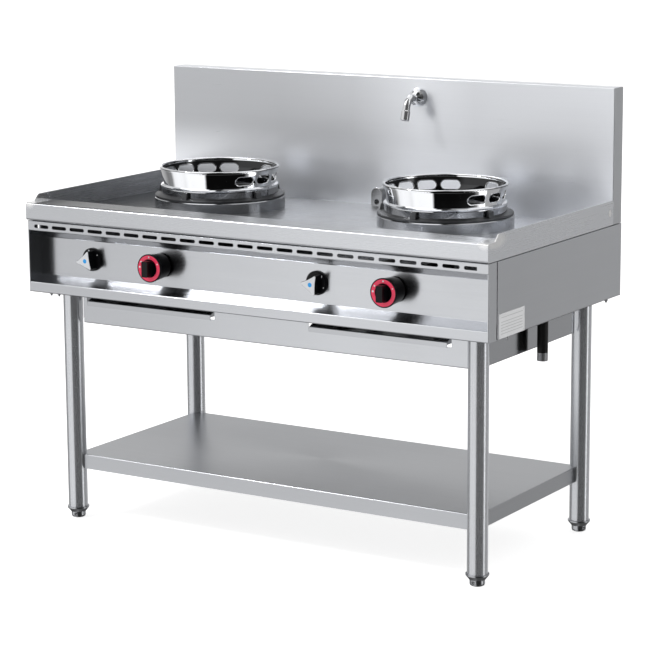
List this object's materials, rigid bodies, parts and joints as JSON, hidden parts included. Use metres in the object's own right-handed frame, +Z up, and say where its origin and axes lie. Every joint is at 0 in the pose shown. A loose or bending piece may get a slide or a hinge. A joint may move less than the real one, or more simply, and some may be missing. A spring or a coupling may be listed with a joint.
{
  "type": "wok range",
  "caption": "Gas wok range on legs: sunken deck with raised wok rings, splashback with spout, knobs in a recessed panel, drip trays and a lower shelf.",
  "frame": {"origin": "floor level under the middle of the outer box", "axes": "+X to the right as seen from the front, +Y to the rear, +Z up"},
  "size_m": [1.35, 0.738, 1.15],
  "materials": {
    "brushed_sheet": "brushed stainless sheet",
    "leg_tube": "satin tube",
    "collar_steel": "turned",
    "foot_steel": "turned",
    "seal": "matt",
    "cast_iron": "raw casting",
    "bright_plate": "bright plated",
    "brass": "machined",
    "spindle_steel": "ground",
    "black_plastic": "smooth",
    "red_print": "printed ring",
    "white_plastic": "smooth",
    "black_pipe": "black paint, bare thread",
    "copper_pipe": "drawn tube"
  },
  "bodies": {
    "range_frame": {"worktop": "brushed_sheet", "splashback": "brushed_sheet", "splashback_cover": "brushed_sheet", "control_panel": "brushed_sheet", "side_panel_left": "brushed_sheet", "side_panel_right": "brushed_sheet", "back_panel": "brushed_sheet", "base_plate": "brushed_sheet", "front_rail": "brushed_sheet", "apron_rails": "brushed_sheet", "undershelf": "brushed_sheet", "tray_runners": "brushed_sheet", "burner_bridges": "brushed_sheet", "burner_base_left": "brushed_sheet", "burner_base_right": "brushed_sheet", "sealing_strip": "seal", "leg_front_left": "leg_tube", "leg_front_right": "leg_tube", "leg_rear_left": "leg_tube", "leg_rear_right": "leg_tube", "leg_fittings": "collar_steel", "burner_head_left": "cast_iron", "burner_body_left": "cast_iron", "pilot_burner_left": "brass", "gas_valve_left": "brass", "burner_feed_pipe_left": "brass", "water_valve_left": "brass", "burner_head_right": "cast_iron", "burner_body_right": "cast_iron", "pilot_burner_right": "brass", "gas_valve_right": "brass", "burner_feed_pipe_right": "brass", "water_valve_right": "brass", "gas_manifold": "black_pipe", "gas_inlet_pipe": "black_pipe", "water_pipes": "copper_pipe", "spout": "bright_plate", "deck_nozzle": "bright_plate"},
    "gas_stem_left": {"gas_spindle_left": "spindle_steel"},
    "gas_knob_left": {"gas_knob_left": "black_plastic", "gas_dial_left": "red_print"},
    "water_knob_left": {"water_spindle_left": "spindle_steel", "water_knob_left": "black_plastic", "water_knob_cap_left": "white_plastic"},
    "drip_tray_left": {"drip_tray_left": "brushed_sheet"},
    "support_ring_left": {"support_ring_left": "cast_iron"},
    "wok_ring_left": {"wok_ring_left": "bright_plate"},
    "gas_stem_right": {"gas_spindle_right": "spindle_steel"},
    "gas_knob_right": {"gas_knob_right": "black_plastic", "gas_dial_right": "red_print"},
    "water_knob_right": {"water_spindle_right": "spindle_steel", "water_knob_right": "black_plastic", "water_knob_cap_right": "white_plastic"},
    "drip_tray_right": {"drip_tray_right": "brushed_sheet"},
    "support_ring_right": {"support_ring_right": "cast_iron"},
    "wok_ring_right": {"wok_ring_right": "bright_plate"},
    "foot_front_left": {"foot_front_left": "foot_steel"},
    "foot_front_right": {"foot_front_right": "foot_steel"},
    "foot_rear_left": {"foot_rear_left": "foot_steel"},
    "foot_rear_right": {"foot_rear_right": "foot_steel"}
  },
  "joints": [
    {"name": "gas_knob_turn_left", "type": "hinge", "parent": "range_frame", "child": "gas_stem_left", "pos_m": [-0.2875, -0.293, 0.71], "axis": [0, -1, 0], "range_deg": [0, 180]},
    {"name": "gas_knob_push_left", "type": "slide", "parent": "gas_stem_left", "child": "gas_knob_left", "axis": [0, 1, 0], "range_m": [0, 0.004], "stiffness_N_per_m": 600},
    {"name": "water_knob_turn_left", "type": "hinge", "parent": "range_frame", "child": "water_knob_left", "pos_m": [-0.506, -0.293, 0.7065], "axis": [0, -1, 0], "range_deg": [0, 180]},
    {"name": "drip_tray_slide_left", "type": "slide", "parent": "range_frame", "child": "drip_tray_left", "axis": [0, -1, 0], "range_m": [0, 0.45]},
    {"name": "support_ring_lift_left", "type": "slide", "parent": "range_frame", "child": "support_ring_left", "axis": [0, 0, 1], "range_m": [0, 0.15]},
    {"name": "wok_ring_lift_left", "type": "slide", "parent": "support_ring_left", "child": "wok_ring_left", "axis": [0, 0, 1], "range_m": [0, 0.15]},
    {"name": "gas_knob_turn_right", "type": "hinge", "parent": "range_frame", "child": "gas_stem_right", "pos_m": [0.3945, -0.293, 0.71], "axis": [0, -1, 0], "range_deg": [0, 180]},
    {"name": "gas_knob_push_right", "type": "slide", "parent": "gas_stem_right", "child": "gas_knob_right", "axis": [0, 1, 0], "range_m": [0, 0.004], "stiffness_N_per_m": 600},
    {"name": "water_knob_turn_right", "type": "hinge", "parent": "range_frame", "child": "water_knob_right", "pos_m": [0.176, -0.293, 0.7065], "axis": [0, -1, 0], "range_deg": [0, 180]},
    {"name": "drip_tray_slide_right", "type": "slide", "parent": "range_frame", "child": "drip_tray_right", "axis": [0, -1, 0], "range_m": [0, 0.45]},
    {"name": "support_ring_lift_right", "type": "slide", "parent": "range_frame", "child": "support_ring_right", "axis": [0, 0, 1], "range_m": [0, 0.15]},
    {"name": "wok_ring_lift_right", "type": "slide", "parent": "support_ring_right", "child": "wok_ring_right", "axis": [0, 0, 1], "range_m": [0, 0.15]},
    {"name": "foot_screw_front_left", "type": "slide", "parent": "range_frame", "child": "foot_front_left", "axis": [0, 0, -1], "range_m": [0, 0.03]},
    {"name": "foot_screw_front_right", "type": "slide", "parent": "range_frame", "child": "foot_front_right", "axis": [0, 0, -1], "range_m": [0, 0.03]},
    {"name": "foot_screw_rear_left", "type": "slide", "parent": "range_frame", "child": "foot_rear_left", "axis": [0, 0, -1], "range_m": [0, 0.03]},
    {"name": "foot_screw_rear_right", "type": "slide", "parent": "range_frame", "child": "foot_rear_right", "axis": [0, 0, -1], "range_m": [0, 0.03]}
  ]
}
